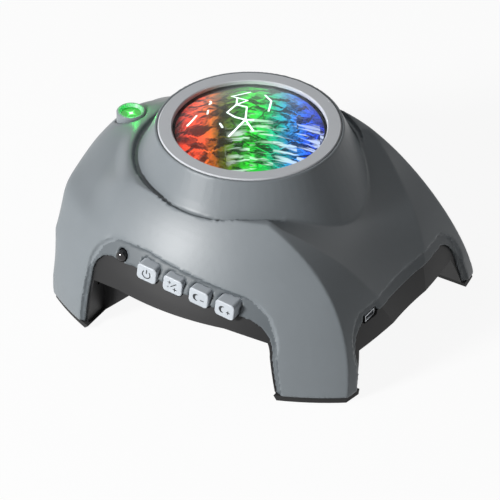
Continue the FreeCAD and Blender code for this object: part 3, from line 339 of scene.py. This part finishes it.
def streak_share(tree, local):
    """Wavy bright lines across the near half of the water pattern, on the green and blue side."""
    plain = add(tree, "ShaderNodeSeparateXYZ", {"Vector": local})
    panel = add(tree, "ShaderNodeMath", {0: plain.outputs["X"]}, operation="DIVIDE", i1=PANEL_MM)
    number = add(tree, "ShaderNodeMath", {0: panel.outputs[0]}, operation="FLOOR")
    jump = add(tree, "ShaderNodeCombineXYZ", {"Y": number.outputs[0]})
    stepped = add(tree, "ShaderNodeVectorMath", {0: jump.outputs[0], 2: local},
                  operation="MULTIPLY_ADD", i1=(0, PANEL_JUMP_MM, 0))
    squeezed = add(tree, "ShaderNodeVectorMath", {0: stepped.outputs[0]},
                   operation="MULTIPLY", i1=(STREAK_LENGTH, 1.0, 0.0))
    waves = add(tree, "ShaderNodeTexNoise", {"Vector": squeezed.outputs[0]},
                Scale=STREAKS_PER_MM, Detail=3.0, Roughness=0.55, Distortion=0.5)
    share = None
    for source, (start, end) in ((waves.outputs["Fac"], STREAK_EDGE),
                                 (plain.outputs["Y"], STREAK_NEAR_MM),
                                 (plain.outputs["X"], STREAK_SIDE_MM)):
        part = add(tree, "ShaderNodeMapRange", {"Value": source},
                   From_Min=start, From_Max=end).outputs[0]
        share = part if share is None else add(tree, "ShaderNodeMath", {0: share, 1: part},
                                               operation="MULTIPLY").outputs[0]
    return share


def water_light():
    """Wavy acrylic lit by the coloured lamps: bands of colour with folds, facets and bright streaks."""
    material, tree = new_finish("lit_water_texture")
    place = add(tree, "ShaderNodeTexCoord").outputs["Object"]
    local = add(tree, "ShaderNodeMapping", {"Vector": place}, vector_type="TEXTURE",
                Location=(CROWN_X, 0, 0), Rotation=(0, 0, VIEW_AZIMUTH),
                Scale=(MM, MM, MM)).outputs[0]
    wobble = add(tree, "ShaderNodeTexNoise", {"Vector": local},
                 Scale=BENDS_PER_MM, Detail=3.0, Roughness=0.6)
    shift = add(tree, "ShaderNodeVectorMath", {0: wobble.outputs["Color"]},
                operation="MULTIPLY_ADD", i1=(BEND_REACH_MM, BEND_REACH_MM, 0),
                i2=(-BEND_REACH_MM / 2, -BEND_REACH_MM / 2, 0))
    bent = add(tree, "ShaderNodeVectorMath", {0: local, 1: shift.outputs[0]},
               operation="ADD").outputs[0]
    across = add(tree, "ShaderNodeSeparateXYZ", {"Vector": bent})
    band = add(tree, "ShaderNodeMapRange", {"Value": across.outputs["X"]},
               From_Min=-BANDS_HALF_MM, From_Max=BANDS_HALF_MM)
    hue = add(tree, "ShaderNodeValToRGB", {0: band.outputs[0]})
    set_ramp(hue, LAMP_BANDS)
    lit = add(tree, "ShaderNodeMix", {6: hue.outputs[0], 7: fold_shade(tree, place, bent)},
              data_type="RGBA", blend_type="MULTIPLY", i0=1.0)
    pale = add(tree, "ShaderNodeMix", {6: hue.outputs[0]}, data_type="RGBA",
               i0=0.5, i7=linear("#f3fff9"))
    streaked = add(tree, "ShaderNodeMix",
                   {0: streak_share(tree, local), 6: lit.outputs[2], 7: pale.outputs[2]},
                   data_type="RGBA")
    # the IOR is far below acrylic's, for the same reason as the cover's
    shader = add(tree, "ShaderNodeBsdfPrincipled", {"Emission Color": streaked.outputs[2]},
                 Base_Color=linear("#191919"), Roughness=0.25, IOR=1.1, Emission_Strength=1.35)
    add(tree, "ShaderNodeOutputMaterial", {"Surface": shader.outputs[0]})
    return material


def bright_crease():
    """Sharp crease of the acrylic where the lamps' light gathers to white."""
    material, tree = new_finish("bright_crease")
    shader = add(tree, "ShaderNodeBsdfPrincipled", Base_Color=linear("#f0fff4"), Roughness=0.3,
                 Emission_Color=linear("#f3fff6"), Emission_Strength=1.0)
    add(tree, "ShaderNodeOutputMaterial", {"Surface": shader.outputs[0]})
    return material


# Plastics: name, colour, roughness, grain and its depth in mm. The grain is drawn coarser than
# the real one, which is too fine to show
FINISHES = {
    "upper_shell": moulded_plastic("grey_satin_abs", "#73797d", 0.40, 0.9, 0.04, ior=1.4),
    # the ledge's darker grey is painted shade: the ledge is the shell's own grey plastic, drawn darker
    # for the shade it lies in
    "ledge": moulded_plastic("grey_abs_painted_ledge_shade", "#575d61", 0.44, 0.9, 0.04, ior=1.4),
    "laser_bezel": moulded_plastic("grey_satin_abs_bezel", "#7d8387", 0.4, 0.9, 0.04, ior=1.4),
    "lower_casing": moulded_plastic("black_satin_abs", "#161617", 0.5, 0.9, 0.04, ior=1.38),
    "crown_ring": moulded_plastic("pale_grey_abs", "#c4c7cb", 0.48, 0.7, 0.03, ior=1.4),
    "key": moulded_plastic("silver_white_abs", "#b2b8be", 0.38, 0.6, 0.02),
    "mark": moulded_plastic("dark_pad_print", "#24282b", 0.5, 0.6, 0.01),
    "well": moulded_plastic("matt_black_abs", "#101112", 0.7, 0.8, 0.05),
    "gear": moulded_plastic("white_acetal", "#e6e4dc", 0.35, 0.8, 0.02),
    "rubber": moulded_plastic("black_rubber", "#161616", 0.8, 0.7, 0.08),
    "switch": moulded_plastic("black_nylon", "#1a1a1c", 0.5, 0.5, 0.02),
    "chip": moulded_plastic("epoxy_moulding", "#1d1e20", 0.55, 0.4, 0.02),
    "receiver": moulded_plastic("dark_infrared_window", "#0d0a0e", 0.08, 2.0, 0.01, ior=1.58),
    "lamp": moulded_plastic("phosphor_gel", "#e8d878", 0.3, 0.6, 0.02),
    "steel": turned_metal("zinc_plated_steel", "#b9bcc0", 0.32, 0.5),
    "aluminium": turned_metal("milled_aluminium", "#c8cbce", 0.38, 0.7),
    "brass": turned_metal("turned_brass", "#c9a35a", 0.28, 0.5),
    "board": circuit_lacquer(),
    # below acrylic's own 1.49, so that the white room's reflections don't hide the pattern below
    "cover": clear_acrylic("polished_clear_acrylic", "#f6fafc", 0.02, ior=1.18),
    "lens": clear_acrylic("rippled_clear_acrylic", "#eef6f6", 0.06),
    "window": emitter_glass(),
    "water": water_light(),
    "crease": bright_crease(),
}
NODE_FINISHES = {
    "upper_shell": "upper_shell", "lower_casing": "lower_casing", "foot_pads": "rubber",
    "crown_ring": "crown_ring", "lens_cover": "cover", "light_shroud": "well",
    "ripple_lens": "lens", "ripple_gear": "gear", "ripple_pinion": "gear",
    "ripple_motor": "steel", "optics_deck": "well", "heat_sink": "aluminium",
    "lamp_board": "board", "lamps": "lamp", "condenser_lenses": "lens",
    "laser_bezel": "laser_bezel", "laser_window": "window", "laser_module": "brass",
    "laser_bracket": "well", "grating_wheel": "lens", "grating_pinion": "gear",
    "grating_motor": "steel", "power_key": "key", "mode_key": "key", "dimmer_key": "key",
    "brighter_key": "key", "key_board": "board", "key_switches": "switch",
    "receiver_window": "receiver", "receiver_chip": "chip", "inlet_board": "board",
    "power_inlet": "steel", "speaker": "well", "main_board": "board", "board_parts": "chip",
    "deck_screws": "steel", "board_screws": "steel", "bracket_screws": "steel",
    "inlet_screw": "steel", "casing_screws": "steel",
}


def dress_frame(nodes):
    for name, node in nodes.items():
        node.data.materials.clear()
        node.data.materials.append(FINISHES[NODE_FINISHES[name]])


# Grey shell: the moulded skin with its blends. Each pair is where a blend starts and is full

SKIN_VOXEL = 0.8 * MM
BLEND_ROUNDS = 260
BLEND_PULL = 0.5
BLEND_LEFT = (0.030, 0.048)
BLEND_PAST_CROWN = (0.0575, 0.063)
BLEND_PAST_LASER = (0.0095, 0.015)
BLEND_HEIGHT = (0.012, 0.030)
FRONT_ARCH_TOP = (0.050, 0.060)
FRONT_ARCH_END = (0.058, 0.070)
SIDE_ARCH_TOP = (0.034, 0.046)
SIDE_ARCH_END = (0.052, 0.060)

# The shoulder's front and back lie lower than in the frame
SHOULDER_DROP = 9.0 * MM
DROP_PAST_MIDDLE = (0.008, 0.040)
DROP_LEFT = (0.042, 0.064)
DROP_HEIGHT = (0.048, 0.072)
DROP_PAST_CROWN = (0.0565, 0.064)

# Upper edge of the stepped ledge: over the front and back arches as (x, z), over the side arches
# # as (y, z). Below it the shell's faces take a darker grey, as painted shade
FRONT_LEDGE = ((-0.0546, -0.0516, -0.0446, -0.0361, -0.0241, 0.0039, 0.0339, 0.0459, 0.0534, 0.0589),
               (0.0, 0.0325, 0.0462, 0.0526, 0.0546, 0.0518, 0.0470, 0.0385, 0.0240, 0.0))
SIDE_LEDGE = ((0.0, 0.0385, 0.0450, 0.0485, 0.0525), (0.0362, 0.0362, 0.0300, 0.0150, 0.0))
FRONT_LEDGE_Y = 0.055
SIDE_LEDGE_X = 0.068
FRONT_FACING = 0.6
SIDE_FACING = 0.5


def ease(value, span):
    start, end = span
    t = np.clip((value - start) / (end - start), 0.0, 1.0)
    return t * t * (3 - 2 * t)


def arch_distance(x, y, z):
    """0 at the arches' edges and the band over the keys, 1 well away from them."""
    front = np.maximum(ease(z, FRONT_ARCH_TOP), ease(-x, FRONT_ARCH_END))
    side = np.maximum(ease(z, SIDE_ARCH_TOP), ease(np.abs(y), SIDE_ARCH_END))
    return front * side


def takes_painted_ledge_shade(place, normal):
    """True on the ledge that steps in along the lower edge, which lies in the shade of the face above;
    its faces take a darker grey, painted shade.
    """
    if abs(normal.y) > FRONT_FACING and abs(place.y) > FRONT_LEDGE_Y:
        return place.z < np.interp(place.x, *FRONT_LEDGE, left=0, right=0)
    if abs(normal.x) > SIDE_FACING and abs(place.x) > SIDE_LEDGE_X:
        return place.z < np.interp(abs(place.y), *SIDE_LEDGE, right=0)
    return False


def soften_shell(node):
    """The shell as one moulded skin: even mesh, left shoulder blended round, edges slightly broken."""
    skin = bpy.data.objects.new("grey_shell_skin", node.data.copy())
    bpy.context.scene.collection.objects.link(skin)
    remesh = skin.modifiers.new("even_skin", "REMESH")
    remesh.mode, remesh.voxel_size = "VOXEL", SKIN_VOXEL
    solid = bpy.data.meshes.new_from_object(skin.evaluated_get(bpy.context.evaluated_depsgraph_get()))
    skin.modifiers.clear()
    skin.data = solid
    count = len(solid.vertices)
    flat = np.empty(count * 3)
    solid.vertices.foreach_get("co", flat)
    places = flat.reshape(-1, 3)
    ends = np.empty(len(solid.edges) * 2, int)
    solid.edges.foreach_get("vertices", ends)
    a, b = ends[0::2], ends[1::2]
    neighbours = np.bincount(ends, minlength=count).astype(float)

    x, y, z = places.T
    weight = (ease(-x, BLEND_LEFT) * ease(np.hypot(x - CROWN_X, y), BLEND_PAST_CROWN)
              * ease(np.hypot(x - LASER_X, y), BLEND_PAST_LASER)
              * ease(z, BLEND_HEIGHT) * arch_distance(x, y, z))
    pull = (BLEND_PULL * weight)[:, None]
    for _ in range(BLEND_ROUNDS):
        total = np.stack([np.bincount(a, places[b, i], count) + np.bincount(b, places[a, i], count)
                          for i in range(3)], axis=1)
        places = places + pull * (total / neighbours[:, None] - places)

    x, y, z = places.T
    away = ease(np.abs(y), DROP_PAST_MIDDLE) * ease(-x, DROP_LEFT) * ease(z, DROP_HEIGHT)
    places[:, 2] -= SHOULDER_DROP * away * ease(np.hypot(x - CROWN_X, y), DROP_PAST_CROWN)
    solid.vertices.foreach_set("co", places.ravel())
    solid.update()
    solid.materials.clear()
    solid.materials.append(FINISHES["upper_shell"])
    # second finish: the darker grey of painted shade on the ledge
    solid.materials.append(FINISHES["ledge"])
    for face in solid.polygons:
        face.use_smooth = True
        face.material_index = int(takes_painted_ledge_shade(face.center, face.normal))
    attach(skin, "housing")
    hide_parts("upper_shell")


# Water texture and its bright creases, under the clear cover

TEXTURE_SEED = 7
TEXTURE_R = 35.0 * MM          # ends short of the dark well
TEXTURE_CLEARANCE = 0.4 * MM
TEXTURE_RELIEF = 0.9 * MM
TEXTURE_RINGS = 44
TEXTURE_SPOKES = 132
FACETS = 150
FACET_SLOPE = 0.12
FACET_DROP = 0.45              # middle of a facet, as a share of the relief
SHEET_EDGE = 0.25 * MM         # thickness at the rim
SHEET_HUB = 0.4 * MM           # how far the closing skin dips in the middle

# Creases that shine white, as runs of (across, away), seen from the camera's side
BRIGHT_CREASES = (
    ((0.4, 25.2), (-8.4, 20.8), (-0.9, 15.4), (-6.2, 11.6), (-10.6, 5.1), (-6.9, 0.7),
     (-2.0, -1.8), (2.1, -1.8)),
    ((-5.8, 18.9), (-6.2, 11.6), (-1.3, 8.9), (-1.7, 2.6), (-2.0, -1.8), (1.7, -10.0)),
    ((-2.0, -1.8), (-9.9, -13.1)),
    ((7.2, 22.0), (10.2, 15.8), (8.8, 5.7)),
    ((-18.5, 18.5), (-18.0, 16.2), (-19.0, 15.0)),
    ((-19.4, 9.5), (-19.8, 6.0)),
    ((-24.8, 7.0), (-27.0, 3.2), (-29.4, 0.2)),
    ((-14.0, -3.0), (-12.6, -6.5)),
)
CREASE_WIDTH_MM = 0.8
CREASE_CLEARANCE = 0.12 * MM
CREASE_THICKNESS = 0.2 * MM


def new_piece(name, body, finish, build):
    mesh = bpy.data.meshes.new(name)
    form = bmesh.new()
    build(form)
    bmesh.ops.recalc_face_normals(form, faces=form.faces)
    form.to_mesh(mesh)
    form.free()
    piece = bpy.data.objects.new(name, mesh)
    bpy.context.scene.collection.objects.link(piece)
    mesh.materials.append(FINISHES[finish])
    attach(piece, body)


def stroke(points, width):
    """Outline of a line of even width through the points."""
    left, right = [], []
    for i, (s, t) in enumerate(points):
        s0, t0 = points[max(i - 1, 0)]
        s1, t1 = points[min(i + 1, len(points) - 1)]
        length = math.hypot(s1 - s0, t1 - t0)
        n = (-(t1 - t0) / length * width / 2, (s1 - s0) / length * width / 2)
        left.append((s + n[0], t + n[1]))
        right.append((s - n[0], t - n[1]))
    return left + right[::-1]


def water_texture(form):
    """Hammered facets moulded under the cover: each point drops to the nearest of many tilted planes."""
    dice = random.Random(TEXTURE_SEED)
    cells = []
    for _ in range(FACETS):
        r, t = TEXTURE_R * math.sqrt(dice.random()), 2 * math.pi * dice.random()
        cells.append((r * math.cos(t), r * math.sin(t),
                      dice.uniform(-FACET_SLOPE, FACET_SLOPE),
                      dice.uniform(-FACET_SLOPE, FACET_SLOPE)))
    top_r = DOME_INNER_R - TEXTURE_CLEARANCE

    def point(r, t):
        x, y = r * math.cos(t), r * math.sin(t)
        cx, cy, slope_x, slope_y = min(cells, key=lambda c: (c[0] - x) ** 2 + (c[1] - y) ** 2)
        drop = FACET_DROP * TEXTURE_RELIEF + slope_x * (x - cx) + slope_y * (y - cy)
        drop = min(max(drop, 0.0), TEXTURE_RELIEF)
        return (CROWN_X + x, y, DOME_CENTRE_Z + math.sqrt(top_r ** 2 - r ** 2) - drop)

    middle = form.verts.new(point(0, 0))
    rows = [[form.verts.new(point(TEXTURE_R * i / TEXTURE_RINGS, 2 * math.pi * j / TEXTURE_SPOKES))
             for j in range(TEXTURE_SPOKES)]
            for i in range(1, TEXTURE_RINGS + 1)]
    # a thin skin below closes the sheet
    below = [form.verts.new(v.co - Vector((0, 0, SHEET_EDGE))) for v in rows[-1]]
    hub = form.verts.new(Vector((CROWN_X, 0, rows[-1][0].co.z - SHEET_HUB)))
    for j in range(TEXTURE_SPOKES):
        k = (j + 1) % TEXTURE_SPOKES
        form.faces.new((middle, rows[0][j], rows[0][k]))
        for inner, outer in zip(rows, rows[1:]):
            form.faces.new((inner[j], outer[j], outer[k], inner[k]))
        form.faces.new((rows[-1][j], below[j], below[k], rows[-1][k]))
        form.faces.new((below[j], hub, below[k]))


def light_creases(form):
    """Thin bright ribbons on the water texture, just under the cover."""
    r_top = DOME_INNER_R - CREASE_CLEARANCE
    turn = VIEW_AZIMUTH

    def on_dome(u, v, lift):
        x = (u * math.cos(turn) - v * math.sin(turn)) * MM
        y = (u * math.sin(turn) + v * math.cos(turn)) * MM
        return (CROWN_X + x, y, DOME_CENTRE_Z + math.sqrt(r_top ** 2 - x * x - y * y) - lift)

    for run in BRIGHT_CREASES:
        outline = stroke(run, CREASE_WIDTH_MM)
        count = len(run)
        top = [form.verts.new(on_dome(u, v, 0)) for u, v in outline]
        low = [form.verts.new(on_dome(u, v, CREASE_THICKNESS)) for u, v in outline]
        for i in range(count - 1):
            a, b, c, d = i, i + 1, 2 * count - 2 - i, 2 * count - 1 - i
            form.faces.new((top[a], top[b], top[c], top[d]))
            form.faces.new((low[d], low[c], low[b], low[a]))
        for i in range(2 * count):
            k = (i + 1) % (2 * count)
            form.faces.new((top[i], low[i], low[k], top[k]))


# Marks on the keys, printed thick: outlines of (right, up) from the middle of the key's face

MARK_PROUD = 0.07 * MM
MARK_DEPTH = 0.3 * MM


def arc_points(s, t, radius, start, end, steps=20):
    angles = [math.radians(start + (end - start) * i / steps) for i in range(steps + 1)]
    return [(s + radius * math.cos(a), t + radius * math.sin(a)) for a in angles]


def star_outline(s, t, points, outer, inner):
    turns = [((outer, inner)[i % 2], math.pi * i / points) for i in range(2 * points)]
    return [(s + r * math.sin(a), t + r * math.cos(a)) for r, a in turns]


def crescent(s, t, radius):
    outer = arc_points(s, t, radius, 60, 300)
    inner = arc_points(s + 0.55 * radius, t, 0.87 * radius, 262, 98)
    return outer + inner


def key_point(key, s, t, depth):
    """Point on a key's face, s to the right and t up in millimetres, sunk by depth."""
    x, z = KEY_MIDDLES[key]
    s, t = s * MM, t * MM
    return (x + s * math.cos(KEY_TILT) + t * math.sin(KEY_TILT), KEY_FACE_Y + depth,
            z - s * math.sin(KEY_TILT) + t * math.cos(KEY_TILT))


def raised_shape(form, key, outline):
    """Prism of a flat outline, a little proud of the key's face."""
    front = [form.verts.new(key_point(key, s, t, -MARK_PROUD)) for s, t in outline]
    back = [form.verts.new(key_point(key, s, t, MARK_DEPTH)) for s, t in outline]
    form.faces.new(front)
    form.faces.new(back[::-1])
    for i in range(len(outline)):
        k = (i + 1) % len(outline)
        form.faces.new((front[i], back[i], back[k], front[k]))


MOON = crescent(-1.1, 0.1, 1.9)
DASH = stroke([(1.1, -0.6), (3.1, -0.6)], 0.5)
KEY_MARKS = {
    "power_key": (stroke(arc_points(0, -0.2, 2.1, 130, 410), 0.55),
                  stroke([(0, 0.2), (0, 2.5)], 0.55)),
    "mode_key": (stroke([(-0.9, -0.7), (2.2, 2.1)], 0.45), star_outline(-1.7, 1.6, 4, 1.1, 0.35),
                 star_outline(1.5, -1.5, 4, 1.3, 0.4), star_outline(-2.2, -1.2, 4, 0.6, 0.2)),
    "dimmer_key": (MOON, DASH),
    "brighter_key": (MOON, DASH, stroke([(2.1, -1.6), (2.1, -0.85)], 0.5),
                     stroke([(2.1, -0.35), (2.1, 0.4)], 0.5)),
}


def print_marks():
    for key, outlines in KEY_MARKS.items():
        def build(form, key=key, outlines=outlines):
            for outline in outlines:
                raised_shape(form, key, outline)
        new_piece(key + "_mark", key + "_cap", "mark", build)


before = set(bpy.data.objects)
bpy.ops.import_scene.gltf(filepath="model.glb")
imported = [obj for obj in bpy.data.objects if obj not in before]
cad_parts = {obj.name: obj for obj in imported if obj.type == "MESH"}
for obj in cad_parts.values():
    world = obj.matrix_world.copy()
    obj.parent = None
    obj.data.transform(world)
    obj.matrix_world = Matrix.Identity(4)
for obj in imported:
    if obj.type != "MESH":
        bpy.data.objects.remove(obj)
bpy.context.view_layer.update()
stand_camera()
light_studio()
lay_floor()
dress_frame(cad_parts)
soften_shell(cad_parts["upper_shell"])
new_piece("cover_water_texture", "housing", "water", water_texture)
new_piece("cover_light_creases", "housing", "crease", light_creases)
print_marks()

bpy.context.scene.view_settings.view_transform = "Standard"
